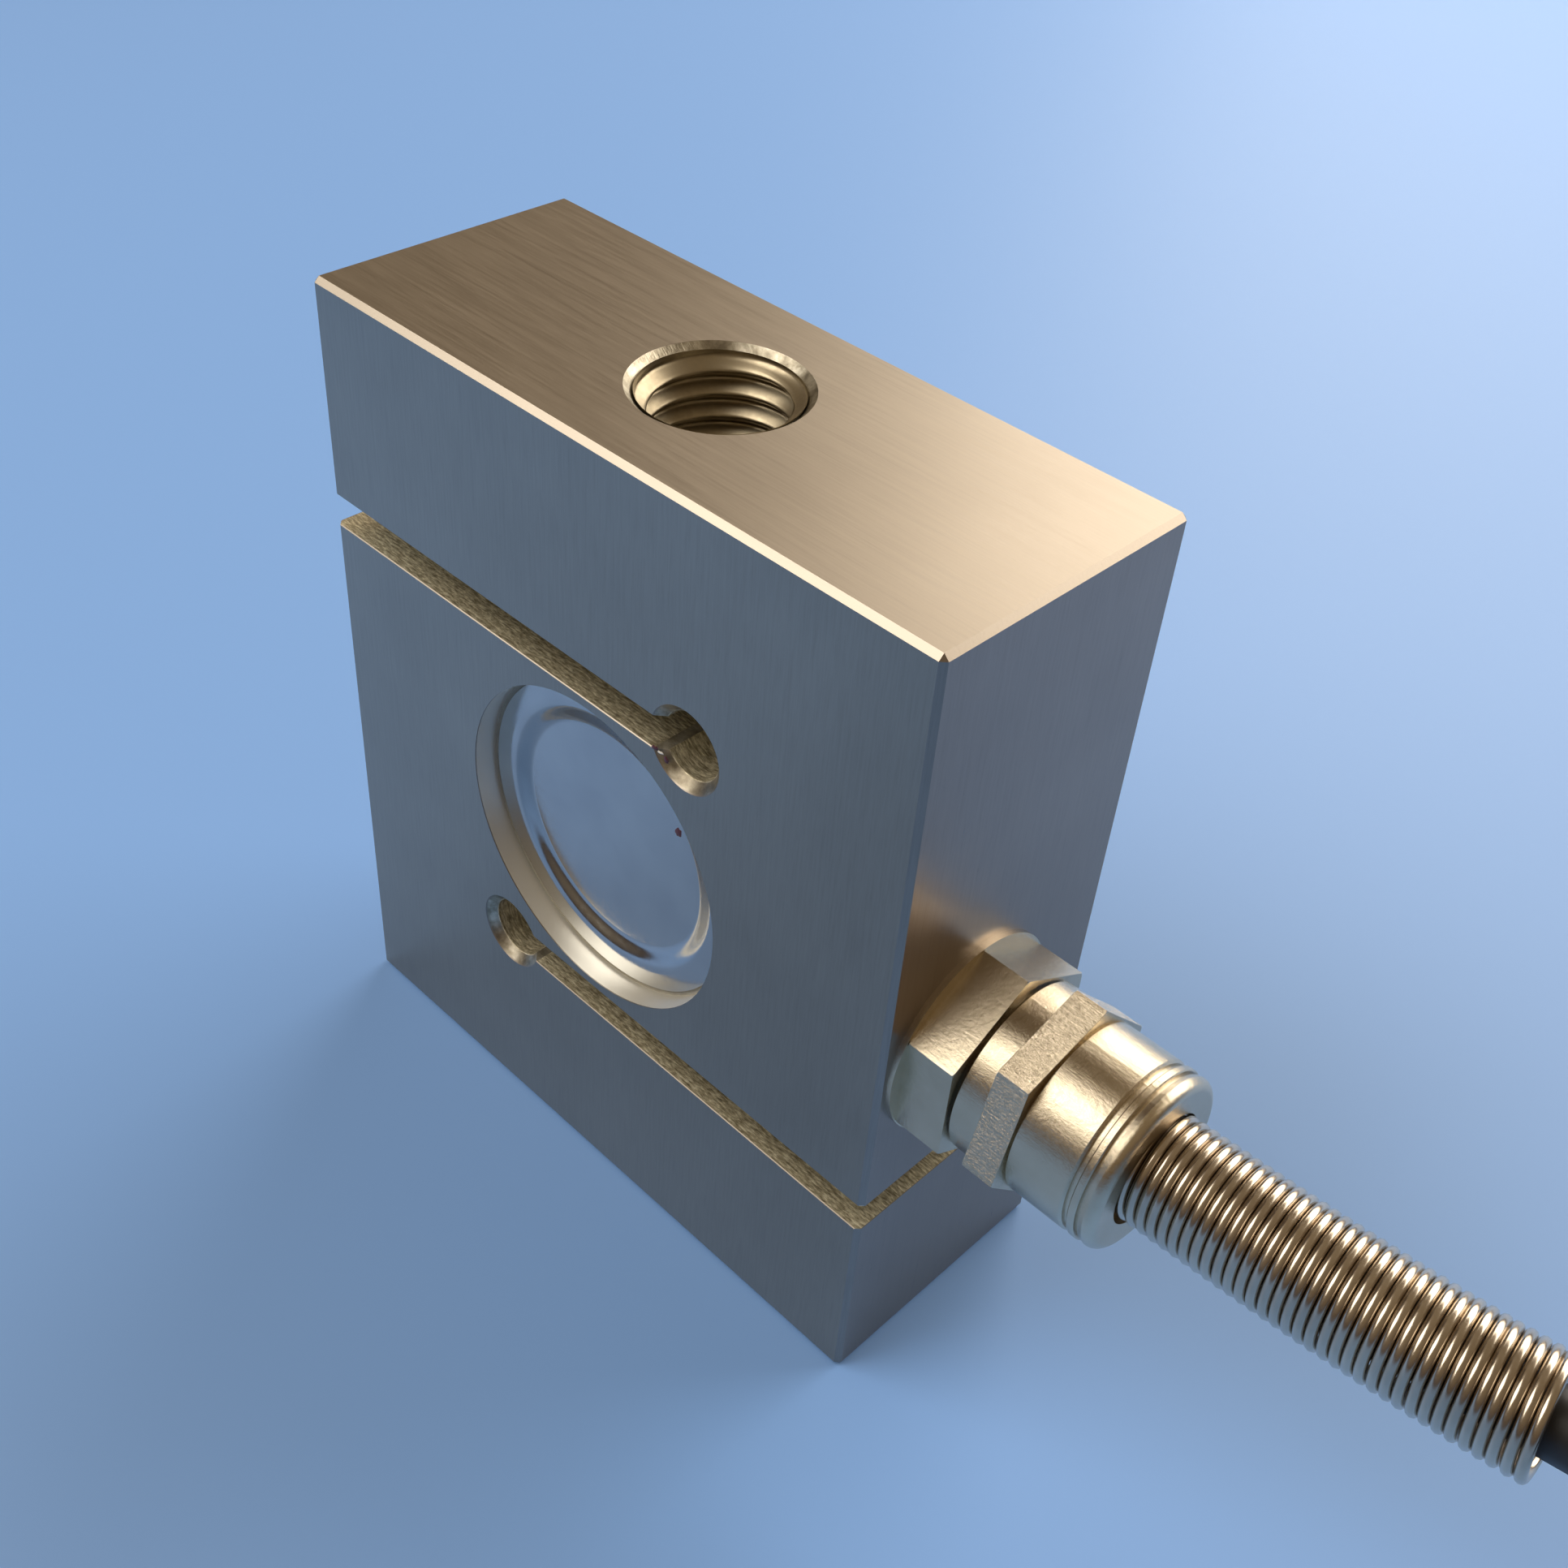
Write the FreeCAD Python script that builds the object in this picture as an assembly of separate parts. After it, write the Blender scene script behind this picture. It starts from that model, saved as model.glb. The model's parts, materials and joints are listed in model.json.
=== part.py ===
"""S type load cell: a slotted steel spring element with gauge pockets, a cable gland and a lead.

Millimetres. The origin is the centre of the bottom face, on the load axis: +Z is up along the
load axis, +X points out of the cable gland, and the front face is at -Y.
"""
import FreeCAD, Part
import math
import os

from FreeCAD import Vector

os.makedirs("parts", exist_ok=True)

# spring element
body_width = 51.0
body_thickness = 20.0
body_height = 59.5
edge_chamfer = 0.35
slot_width = 2.3
slot_from_middle = 13.35         # slot centre line above and below mid-height
slot_lip_chamfer = 0.06
stress_hole_radius = 2.25
stress_hole_from_axis = 8.4
stress_hole_from_middle = 13.55
stress_hole_countersink = 0.65   # depth and radial growth of the 45 degree countersink
load_thread_radius = 5.0         # M10, load thread at the top and the bottom
load_thread_chamfer = 0.55

# gauge pockets, the same on the front and the rear
cover_bore_radius = 11.55
cover_seat_depth = 2.2
pocket_radius = 10.3
web_thickness = 3.0
wire_pass_radius = 1.4           # hole through the web for the rear bridge's leads
wire_pass_from_axis = 7.2
wire_pass_drop = 2.6

# covers
cover_sheet = 0.5
cover_rim_fit = 0.35             # radial gap between cover and bore, sealed at its bottom
cover_rim_width = 1.5
dish_slope_width = 1.6
dish_depth = 0.45
rim_bend_radius = 2.0            # outer radii of the two bends in the sheet
panel_bend_radius = 0.9
sealant_height = 0.15

# gauges and wiring in the pockets
gauge_length = 6.0
gauge_width = 3.2
gauge_thickness = 0.12
gauge_spacing = 6.8
gauge_angle = 45.0
gauge_tab_inset = 0.35
terminal_length = 5.0
terminal_width = 1.6
terminal_thickness = 0.3
terminal_drop = 5.4
solder_radius = 0.45
solder_pads = 4
board_length = 9.0
board_width = 4.2
board_thickness = 0.8
board_rise = 6.3
resistor_length = 1.6
resistor_width = 0.9
resistor_thickness = 0.5
resistor_count = 2
bridge_wire_radius = 0.15
bridge_wire_arch = 0.8
pass_wire_radius = 0.2
pass_wire_pitch = 0.45
wire_rest_gap = 0.05
gel_depth = 1.9
gel_wall_gap = 0.05

# gland, measured outwards from the body's right face along the gland axis
gland_from_mid_plane = -2.5
gland_height = 28.5
port_radius = 4.0                # M8 x 1 port
port_depth = 7.0
entry_radius = 1.9
entry_clearance = 0.1            # between the entry bore and the web's plane
port_seat_chamfer = 1.3
thread_clearance = 0.05
shank_length = 6.0
shank_bore_radius = 2.25
flange_radius = 6.95
flange_thickness = 0.4
gland_across_flats = 11.9
gland_hex_length = 3.3
gland_hex_chamfer = 0.12
gland_hex_angle = 0.0
barrel_radius = 4.5
barrel_length = 5.2
seal_radius = 3.6
seal_length = 4.2
seal_step = 1.6                  # from the hex's outer face into the barrel
washer_thickness = 0.6
fit_gap = 0.05
nut_gap = 0.15
nut_across_flats = 11.9
nut_hex_angle = -15.0
collar_radius = 5.85
collar_length = 1.95
nut_hex_length = 2.2
sleeve_radius = 5.8
sleeve_length = 4.05
groove_width = 0.37
second_groove_width = 0.2
groove_depth = 0.3
ring_width = 0.5
bead_radius = 5.75
bead_length = 1.03
bead_face_radius = 5.2
bead_shoulder = 0.1
nut_edge_chamfer = 0.15
spring_socket_depth = 1.45
o_ring_section = 0.6

# strain-relief spring, close wound; its round wire is cut to facets
spring_outer_radius = 3.55
spring_wire = 0.66
spring_pitch = 0.70
spring_length = 25.2
spring_socket_fit = 0.2
spring_floor_gap = 0.03
spring_start_turn = 180.0        # the wire's ends lie on the far side from the bend axis
facets_per_turn = 13
facets_round_wire = 6

# cable
cable_radius = 2.0
sheath_start = 1.6               # from the right face, inside the gland
core_radius = 0.36
core_pitch = 1.05                # in the sheath
core_end_pitch = 1.15            # where the cores are soldered to the board
core_start_gap = 0.05
core_colours = ("red", "black", "green", "white")

# hank of the stored cable, laid flat in line with the load cell
hank_near_end = 110.0            # x of its nearer end
hank_middle = 9.0                # y of its long axis
hank_straight = 46.0
hank_inner_radius = 10.0
hank_outer_radius = 18.0
hank_height = 20.0
tie_thickness = 0.6
tie_width = 3.0
tie_fit = 0.05

# stripped end of the cable
sleeve_fit = 0.02
sleeve_wall = 0.3
sleeve_on_sheath = 5.5
sleeve_on_leads = 5.5
sleeve_neck_radius = 1.7
lead_radius = 0.5
lead_bunch_radius = 0.95
lead_run = 9.0
lead_fan = 1.7
lead_colours = ("red", "black", "green", "white", "shield")

entry_y = -(web_thickness / 2 + entry_clearance + entry_radius)

X = Vector(1, 0, 0)
Y = Vector(0, 1, 0)
Z = Vector(0, 0, 1)
FULL_TURN = 360.0
OVERSHOOT = 1.0                  # how far a cutting tool reaches past what it cuts
FACET_TOLERANCE = 0.001

front_y = -body_thickness / 2
rear_y = body_thickness / 2
right_x = body_width / 2
mid_height = body_height / 2
upper_slot_top = mid_height + slot_from_middle + slot_width / 2
lower_slot_bottom = mid_height - slot_from_middle - slot_width / 2
gland_face = Vector(right_x, gland_from_mid_plane, gland_height)
web_face = web_thickness / 2


# ---- helpers ------------------------------------------------------------------------------

def profile_face(steps):
    """Closed face in the XZ plane. A step is (x, z), or (via, end) for an arc through via."""
    start = Vector(steps[0][0], 0, steps[0][1])
    here = start
    edges = []
    for step in steps[1:] + [steps[0]]:
        if isinstance(step[0], tuple):
            via = Vector(step[0][0], 0, step[0][1])
            there = Vector(step[1][0], 0, step[1][1])
            edges.append(Part.Arc(here, via, there).toShape())
        else:
            there = Vector(step[0], 0, step[1])
            edges.append(Part.LineSegment(here, there).toShape())
        here = there
    return Part.Face(Part.Wire(edges))


def rounded_bend(before, corner, after, radius):
    """Steps that round a corner of a profile with an arc tangent to both of its sides."""
    here = Vector(corner[0], corner[1], 0)
    back = (Vector(before[0], before[1], 0) - here).normalize()
    onward = (Vector(after[0], after[1], 0) - here).normalize()
    half = back.getAngle(onward) / 2
    start = here + back * (radius / math.tan(half))
    end = here + onward * (radius / math.tan(half))
    via = here + (back + onward).normalize() * (radius / math.sin(half) - radius)
    return [(start.x, start.y), ((via.x, via.y), (end.x, end.y))]


def turned(steps, at):
    """Solid of revolution about an axis along +X through at; steps are (along, radius)."""
    solid = profile_face(steps).revolve(Vector(0, 0, 0), X, FULL_TURN)
    solid.translate(at)
    return solid


def hexagon_prism(across_flats, start, length, angle, at):
    """Hexagonal bar along +X, with its first flat's normal angle degrees above +Y."""
    corner_radius = across_flats / 2 / math.cos(math.radians(30))
    corners = []
    for k in range(7):
        turn = math.radians(angle + 30 + 60 * k)
        corners.append(Vector(start, corner_radius * math.cos(turn), corner_radius * math.sin(turn)))
    bar = Part.Face(Part.makePolygon(corners)).extrude(X * length)
    bar.translate(at)
    return bar


def tube(path, radius, normal):
    """Round solid swept along a wire whose first point is path's start."""
    start = path.OrderedVertexes[0].Point
    circle = Part.Wire([Part.makeCircle(radius, start, normal)])
    return path.makePipeShell([circle], True, False)


def rounded_route(points):
    """Straight runs joined by tangent arcs, each as large as its two runs allow."""
    edges = []
    radii = []
    here = points[0]
    for before, corner, after in zip(points, points[1:], points[2:]):
        run_in = (corner - before).normalize()
        run_out = (after - corner).normalize()
        turn = run_in.getAngle(run_out)
        cut_back = 0.45 * min((corner - before).Length, (after - corner).Length)
        radius = cut_back / math.tan(turn / 2)
        start = corner - run_in * cut_back
        end = corner + run_out * cut_back
        inward = (run_out - run_in).normalize()
        middle = corner + inward * (radius / math.cos(turn / 2) - radius)
        edges.append(Part.LineSegment(here, start).toShape())
        edges.append(Part.Arc(start, middle, end).toShape())
        radii.append(radius)
        here = end
    edges.append(Part.LineSegment(here, points[-1]).toShape())
    return edges, radii


def mirror_to_rear(shape):
    return shape.mirror(Vector(0, 0, 0), Y)


def facing_front(shape):
    """Stand a part that was turned about +X on the front face's pocket axis, outwards to -Y."""
    shape.rotate(Vector(0, 0, 0), Z, -90)
    shape.translate(Vector(0, 0, mid_height))
    return shape


# ---- spring element -----------------------------------------------------------------------

def slot_tool(side):
    """Slot from a stress hole out through one narrow face; side is +1 for the upper slot."""
    low = slot_width / 2
    wide = low + slot_lip_chamfer + OVERSHOOT
    face = body_thickness / 2
    inner = face - slot_lip_chamfer
    outer = face + OVERSHOOT
    section = [(-outer, -wide), (-inner, -low), (inner, -low), (outer, -wide),
               (outer, wide), (inner, low), (-inner, low), (-outer, wide)]
    start_x = side * stress_hole_from_axis
    height = mid_height + side * slot_from_middle
    wire = Part.makePolygon([Vector(start_x, y, height + z) for y, z in section + section[:1]])
    reach = right_x + stress_hole_from_axis + OVERSHOOT
    return Part.Face(wire).extrude(X * (-side * reach))


def stress_hole_tool(side):
    centre = Vector(side * stress_hole_from_axis, 0, mid_height + side * stress_hole_from_middle)
    face = body_thickness / 2
    mouth = stress_hole_radius + stress_hole_countersink
    inner = face - stress_hole_countersink
    hole = turned([(-face, 0), (-face, mouth), (-inner, stress_hole_radius),
                   (inner, stress_hole_radius), (face, mouth), (face, 0)], Vector(0, 0, 0))
    hole.rotate(Vector(0, 0, 0), Z, 90)
    hole.translate(centre)
    return hole


def pocket_tool():
    """Front cover bore, seat and gauge pocket, down to the web."""
    face = body_thickness / 2
    seat = face - cover_seat_depth
    floor = web_thickness / 2
    outline = [(floor, 0), (floor, pocket_radius), (seat, pocket_radius), (seat, cover_bore_radius),
               (face + OVERSHOOT, cover_bore_radius), (face + OVERSHOOT, 0)]
    return facing_front(turned(outline, Vector(0, 0, 0)))


def load_thread_tool(mouth, inward, depth):
    """Plain bore at the thread's major radius with its chamfered mouth."""
    reach = depth + slot_width / 2
    bore = Part.makeCylinder(load_thread_radius, reach, mouth, inward)
    chamfer = Part.makeCone(load_thread_radius + load_thread_chamfer, load_thread_radius,
                            load_thread_chamfer, mouth, inward)
    return bore.fuse(chamfer)


def gland_port_tool():
    """Gland port with its seal seat, and the entry bore on into the front pocket."""
    port = Part.makeCylinder(port_radius, port_depth, gland_face, -X)
    seat = Part.makeCone(port_radius + port_seat_chamfer, port_radius, port_seat_chamfer, gland_face, -X)
    reach = right_x - pocket_radius + 2 * entry_radius
    mouth = Vector(right_x, entry_y, gland_height)
    entry = Part.makeCylinder(entry_radius, reach - port_depth, mouth - X * port_depth, -X)
    return port.fuse(seat).fuse(entry)


def make_spring_element():
    corner = Vector(-right_x, front_y, 0)
    body = Part.makeBox(body_width, body_thickness, body_height, corner)
    body = body.makeChamfer(edge_chamfer, body.Edges)
    front_pocket = pocket_tool()
    tools = [front_pocket, mirror_to_rear(front_pocket), gland_port_tool()]
    for side in (1, -1):
        tools.append(slot_tool(side))
        tools.append(stress_hole_tool(side))
    tools.append(load_thread_tool(Vector(0, 0, body_height), -Z, body_height - upper_slot_top))
    tools.append(load_thread_tool(Vector(0, 0, 0), Z, lower_slot_bottom))
    wire_pass_at = Vector(wire_pass_from_axis, -web_thickness, mid_height - wire_pass_drop)
    tools.append(Part.makeCylinder(wire_pass_radius, 2 * web_thickness, wire_pass_at, Y))
    for tool in tools:
        body = body.cut(tool)
    return body.removeSplitter()


# ---- covers and sealant -------------------------------------------------------------------

def make_front_cover():
    """Pressed disc of one thickness: a flat rim on the pocket's seat and a dished centre."""
    seat = body_thickness / 2 - cover_seat_depth
    rim = cover_bore_radius - cover_rim_fit
    slope_top = rim - cover_rim_width
    panel = slope_top - dish_slope_width
    top = seat + cover_sheet
    low = top - dish_depth
    shift = cover_sheet * math.tan(math.atan2(dish_depth, dish_slope_width) / 2)
    under_slope = min(slope_top - shift, pocket_radius - fit_gap)
    under = low - cover_sheet
    upper = [(low, 0), (low, panel), (top, slope_top), (top, rim)]
    lower = [(seat, rim), (seat, under_slope), (under, under_slope - dish_slope_width), (under, 0)]
    outline = ([upper[0]] + rounded_bend(*upper[:3], panel_bend_radius - cover_sheet)
               + rounded_bend(*upper[1:], rim_bend_radius) + [upper[3], lower[0]]
               + rounded_bend(*lower[:3], rim_bend_radius - cover_sheet)
               + rounded_bend(*lower[1:], panel_bend_radius) + [lower[3]])
    return facing_front(turned(outline, Vector(0, 0, 0)))


def make_front_sealant():
    """Sealant at the bottom of the gap between the cover's rim and the bore wall."""
    seat = body_thickness / 2 - cover_seat_depth
    rim = cover_bore_radius - cover_rim_fit
    level = seat + cover_sheet / 2
    outline = [(seat, rim), (level, rim), (level + sealant_height, cover_bore_radius),
               (seat, cover_bore_radius)]
    return facing_front(turned(outline, Vector(0, 0, 0)))


# ---- gauges and wiring --------------------------------------------------------------------
# Everything here is built for the front pocket; the rear pocket's pieces are its mirror image.

def on_web(shape, x, z):
    """Place a part that was built standing out from y = 0 towards -Y on the web's front face."""
    shape.translate(Vector(x, -web_face, mid_height + z))
    return shape


def slab(length, width, thickness, base=0.0):
    return Part.makeBox(length, thickness, width, Vector(-length / 2, -base - thickness, -width / 2))


def make_front_gauge(side):
    """One grid of the shear bridge, laid at 45 degrees on the web."""
    gauge = slab(gauge_length, gauge_width, gauge_thickness)
    gauge.rotate(Vector(0, 0, 0), Y, -side * gauge_angle)
    return on_web(gauge, side * gauge_spacing / 2, 0)


def pad_positions():
    pitch = terminal_length / solder_pads
    return [pitch * (k + 0.5) - terminal_length / 2 for k in range(solder_pads)]


def gauge_tab_rise(x):
    """Height of the point where a wire from pad x meets the lower end of its gauge."""
    lean = math.radians(gauge_angle)
    along = gauge_length / 2 - gauge_tab_inset
    end_x = gauge_spacing / 2 - along * math.cos(lean)
    end_z = -along * math.sin(lean)
    return end_z - (abs(x) - end_x) * math.tan(lean)


def make_front_terminal():
    """Solder terminal strip below the gauges."""
    return on_web(slab(terminal_length, terminal_width, terminal_thickness), 0, -terminal_drop)


def make_front_solder():
    joints = []
    for x in pad_positions():
        dome = Part.makeSphere(solder_radius, Vector(x, -terminal_thickness, 0))
        front_half = slab(2 * solder_radius, 2 * solder_radius, solder_radius, terminal_thickness)
        front_half.translate(Vector(x, 0, 0))
        joints.append(on_web(dome.common(front_half), 0, -terminal_drop))
    return joints


def make_front_bridge_wires(solder):
    """Enamelled wires that arch from the solder joints to the lower ends of the gauges."""
    wires = []
    foot_height = terminal_thickness + solder_radius / 2
    end_height = gauge_thickness + bridge_wire_radius
    for x in pad_positions():
        foot = Vector(x, -foot_height, -terminal_drop)
        far = Vector(x, -end_height, gauge_tab_rise(x))
        crest = (foot + far) * 0.5 - Y * bridge_wire_arch
        path = Part.Wire([Part.Arc(foot, crest, far).toShape()])
        tangent = path.Edges[0].tangentAt(path.Edges[0].FirstParameter)
        wire = on_web(tube(path, bridge_wire_radius, tangent), 0, 0)
        gauge_and_web = slab(body_width, body_height, gauge_thickness + web_face, -web_face)
        wire = wire.cut(on_web(gauge_and_web, 0, 0))
        for joint in solder:
            wire = wire.cut(joint)
        wires.append(wire)
    return wires


def make_board():
    """Compensation board above the gauges, in the front pocket only."""
    return on_web(slab(board_length, board_width, board_thickness), 0, board_rise)


def make_resistors():
    """Chips on the left half of the board; the cores end on its right half."""
    pitch = board_width / resistor_count
    chips = []
    for k in range(resistor_count):
        chip = slab(resistor_length, resistor_width, resistor_thickness, board_thickness)
        rise = board_rise + pitch * (k + 0.5) - board_width / 2
        chips.append(on_web(chip, -board_length / 4, rise))
    return chips


def make_pass_wires():
    """Ribbon of leads from the rear terminal strip through the web to the front one."""
    height = web_face + terminal_thickness + pass_wire_radius + wire_rest_gap
    start = Vector(terminal_length / 2 + pass_wire_radius, -height, mid_height - terminal_drop)
    turn = Vector(wire_pass_from_axis, -height, mid_height - wire_pass_drop)
    across = (turn - start).cross(Y).normalize()
    wires = []
    for k in range(solder_pads):
        offset = across * (pass_wire_pitch * (k - (solder_pads - 1) / 2))
        front = [start + offset, turn + offset]
        rear = [Vector(p.x, -p.y, p.z) for p in reversed(front)]
        edges, radii = rounded_route(front + rear)
        wires.append(tube(Part.Wire(edges), pass_wire_radius, (turn - start).normalize()))
    return wires


def core_offsets():
    half = core_pitch / 2
    return [Vector(0, -half, half), Vector(0, half, half), Vector(0, -half, -half), Vector(0, half, -half)]


def make_core(index):
    """Insulated core from the sheath's end through the port to its place on the board."""
    offset = core_offsets()[index]
    inside = Vector(gland_face.x - port_depth - entry_radius, entry_y, gland_height)
    entry = Vector(pocket_radius - entry_radius, entry_y, gland_height)
    height = web_face + board_thickness + core_radius + wire_rest_gap
    landing = Vector(board_length / 4, -height, mid_height + board_rise)
    across = Y.cross(landing - entry).normalize()
    end = landing - across * (core_end_pitch * (index - (len(core_colours) - 1) / 2))
    start = gland_face + X * (sheath_start - core_start_gap)
    edges, radii = rounded_route([start + offset, inside + offset, entry + offset, end])
    return tube(Part.Wire(edges), core_radius, (inside - start).normalize())


def make_front_gel(wrapped):
    """Soft silicone over the gauges and joints, moulded round everything that it wraps."""
    layer = turned([(0, 0), (0, pocket_radius - gel_wall_gap), (gel_depth, pocket_radius - gel_wall_gap),
                    (gel_depth, 0)], X * web_face)
    layer = facing_front(layer)
    for piece in wrapped:
        layer = layer.cut(piece)
    return max(layer.Solids, key=lambda solid: solid.Volume)


# ---- gland --------------------------------------------------------------------------------

hex_start = flange_thickness
hex_end = hex_start + gland_hex_length
nut_start = hex_end + nut_gap
nut_hex_start = nut_start + collar_length
sleeve_start = nut_hex_start + nut_hex_length
groove_start = sleeve_start + sleeve_length
ring_start = groove_start + groove_width
second_groove_start = ring_start + ring_width
bead_start = second_groove_start + second_groove_width
nut_end = bead_start + bead_length
socket_floor = nut_end - spring_socket_depth
seal_start = hex_end + seal_step
seal_end = seal_start + seal_length
washer_end = seal_end + washer_thickness
barrel_end = hex_end + barrel_length


def chamfered_hex(across_flats, start, length, angle, chamfer):
    """Hexagon whose corners are turned down to the bar's radius, with chamfered ends."""
    corner_radius = across_flats / 2 / math.cos(math.radians(30))
    end = start + length
    bar = hexagon_prism(across_flats, start, length, angle, gland_face)
    envelope = turned([(start, 0), (start, corner_radius - chamfer), (start + chamfer / 2, corner_radius),
                       (end - chamfer / 2, corner_radius), (end, corner_radius - chamfer), (end, 0)],
                      gland_face)
    return bar.common(envelope)


def make_gland_body():
    """One turned piece: threaded shank, flange, hexagon and barrel, bored for the cable."""
    shank_radius = port_radius - thread_clearance
    turned_part = turned([(-shank_length, 0), (-shank_length, shank_radius - edge_chamfer),
                          (edge_chamfer - shank_length, shank_radius), (0, shank_radius),
                          (0, flange_radius), (flange_thickness, flange_radius),
                          (flange_thickness, barrel_radius), (barrel_end - edge_chamfer, barrel_radius),
                          (barrel_end, barrel_radius - edge_chamfer), (barrel_end, 0)], gland_face)
    hexagon = chamfered_hex(gland_across_flats, hex_start, gland_hex_length, gland_hex_angle,
                            gland_hex_chamfer)
    bore = turned([(-shank_length - OVERSHOOT, 0), (-shank_length - OVERSHOOT, shank_bore_radius),
                   (seal_start, shank_bore_radius), (seal_start, seal_radius),
                   (barrel_end + OVERSHOOT, seal_radius), (barrel_end + OVERSHOOT, 0)], gland_face)
    return turned_part.fuse(hexagon).cut(bore).removeSplitter()


def make_gland_nut():
    """Compression nut: collar, hexagon, sleeve, two grooves and a rounded bead with the socket."""
    rim = nut_edge_chamfer
    groove = sleeve_radius - groove_depth
    crown = bead_start + bead_length / 3
    bead_bend = (nut_end - bead_length / 5, bead_radius - (bead_radius - bead_face_radius) / 3)
    outside = turned([(nut_start, 0), (nut_start, collar_radius - rim), (nut_start + rim, collar_radius),
                      (sleeve_start, collar_radius), (sleeve_start, sleeve_radius - rim),
                      (sleeve_start + rim, sleeve_radius), (groove_start - rim, sleeve_radius),
                      (groove_start, sleeve_radius - rim), (groove_start, groove),
                      (ring_start, groove), (ring_start, sleeve_radius - rim / 2),
                      (ring_start + rim / 2, sleeve_radius),
                      (second_groove_start - rim / 2, sleeve_radius),
                      (second_groove_start, sleeve_radius - rim / 2), (second_groove_start, groove),
                      (bead_start, groove), (bead_start, bead_radius - bead_shoulder), (crown, bead_radius),
                      (bead_bend, (nut_end, bead_face_radius)), (nut_end, 0)], gland_face)
    hexagon = chamfered_hex(nut_across_flats, nut_hex_start, nut_hex_length, nut_hex_angle, 2 * fit_gap)
    socket = spring_outer_radius + spring_socket_fit
    barrel_hole = barrel_radius + thread_clearance
    inside = turned([(nut_start - OVERSHOOT, 0), (nut_start - OVERSHOOT, barrel_hole),
                     (washer_end + fit_gap, barrel_hole), (washer_end + fit_gap, shank_bore_radius),
                     (socket_floor, shank_bore_radius), (socket_floor, socket),
                     (nut_end + OVERSHOOT, socket), (nut_end + OVERSHOOT, 0)], gland_face)
    return outside.fuse(hexagon).cut(inside).removeSplitter()


def ring_on_gland(start, end, inner, outer):
    return turned([(start, inner), (start, outer), (end, outer), (end, inner)], gland_face)


def make_gland_seal():
    return ring_on_gland(seal_start, seal_end, cable_radius, seal_radius - fit_gap)


def make_gland_washer():
    """Thrust washer between the rubber seal and the nut, so the seal isn't twisted."""
    return ring_on_gland(seal_end, washer_end, shank_bore_radius, barrel_radius - fit_gap)


def make_gland_o_ring():
    """Seal in the port's chamfer, under the flange."""
    centre_radius = port_radius + o_ring_section / 2 + fit_gap
    depth = o_ring_section / 2 + fit_gap
    return Part.makeTorus(centre_radius, o_ring_section / 2, gland_face - X * depth, X)


# ---- cable --------------------------------------------------------------------------------

cable_height = cable_radius
tail_height = cable_radius + sleeve_fit + sleeve_wall + tie_fit
lead_route = [
    gland_face + X * sheath_start,
    gland_face + X * 26.2,
    gland_face + Vector(50.64, 2.57, 2.47),
    Vector(93.0, -0.5, 27.0),
    Vector(106.0, -4.0, 16.5),
    Vector(118.0, -8.0, 6.5),
    Vector(131.5, -6.8, 2.5),
]
tail_route = [
    Vector(136.5, 23.3, tail_height),
    Vector(122.0, 25.8, tail_height),
    Vector(108.2, 24.2, tail_height),
]


def make_cable_lead(hank):
    edges, radii = rounded_route(lead_route)
    path = Part.Wire(edges)
    solid = tube(path, cable_radius, X)
    expected = math.pi * cable_radius ** 2 * path.Length
    print("cable lead: arc radii", [round(r, 1) for r in radii], "length", round(path.Length, 1),
          "volume over section times length", round(solid.Volume / expected, 4))
    return max(solid.cut(hank).Solids, key=lambda part: part.Volume)


def make_cable_tail(hank):
    edges, radii = rounded_route(tail_route)
    path = Part.Wire(edges)
    solid = tube(path, cable_radius, (tail_route[1] - tail_route[0]).normalize())
    print("cable tail: arc radii", [round(r, 1) for r in radii], "length", round(path.Length, 1))
    return max(solid.cut(hank).Solids, key=lambda part: part.Volume)


def hank_outline(radius):
    """Wire of a flat loop with straight sides and half-round ends."""
    half = hank_straight / 2
    corners = [Vector(-half, -radius, 0), Vector(half, -radius, 0),
               Vector(half, radius, 0), Vector(-half, radius, 0)]
    far = Part.Arc(corners[1], Vector(half + radius, 0, 0), corners[2]).toShape()
    near = Part.Arc(corners[3], Vector(-half - radius, 0, 0), corners[0]).toShape()
    front = Part.LineSegment(corners[0], corners[1]).toShape()
    rear = Part.LineSegment(corners[2], corners[3]).toShape()
    return Part.Wire([front, far, rear, near])


hank_centre = Vector(hank_near_end + hank_outer_radius + hank_straight / 2, hank_middle, 0)


def make_cable_hank():
    """Outer shape of the wound turns, which lie on the ties."""
    hank = Part.Face(hank_outline(hank_outer_radius)).extrude(Z * hank_height)
    hank = hank.cut(Part.Face(hank_outline(hank_inner_radius)).extrude(Z * hank_height))
    rims = [e for e in hank.Edges if e.BoundBox.ZLength < tie_fit]
    hank = hank.makeFillet(cable_radius, rims)
    hank.translate(hank_centre + Z * tie_thickness)
    return hank


def make_hank_ties():
    """Flat bands, one round each long side of the hank."""
    ties = []
    width = hank_outer_radius - hank_inner_radius + 2 * tie_fit
    height = hank_height + 2 * tie_fit
    for side in (-1, 1):
        inner_y = min(side * (hank_inner_radius - tie_fit), side * (hank_outer_radius + tie_fit))
        inner = Part.makeBox(tie_width, width, height,
                             Vector(-tie_width / 2, inner_y, tie_thickness - tie_fit))
        outer = Part.makeBox(tie_width, width + 2 * tie_thickness, height + 2 * tie_thickness - tie_fit,
                             Vector(-tie_width / 2, inner_y - tie_thickness, 0))
        inner = inner.makeFillet(cable_radius, [e for e in inner.Edges if along_x(e)])
        outer = outer.makeFillet(cable_radius + tie_thickness, [e for e in outer.Edges if along_x(e)])
        tie = outer.cut(inner)
        tie.translate(hank_centre)
        ties.append(tie)
    return ties


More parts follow.
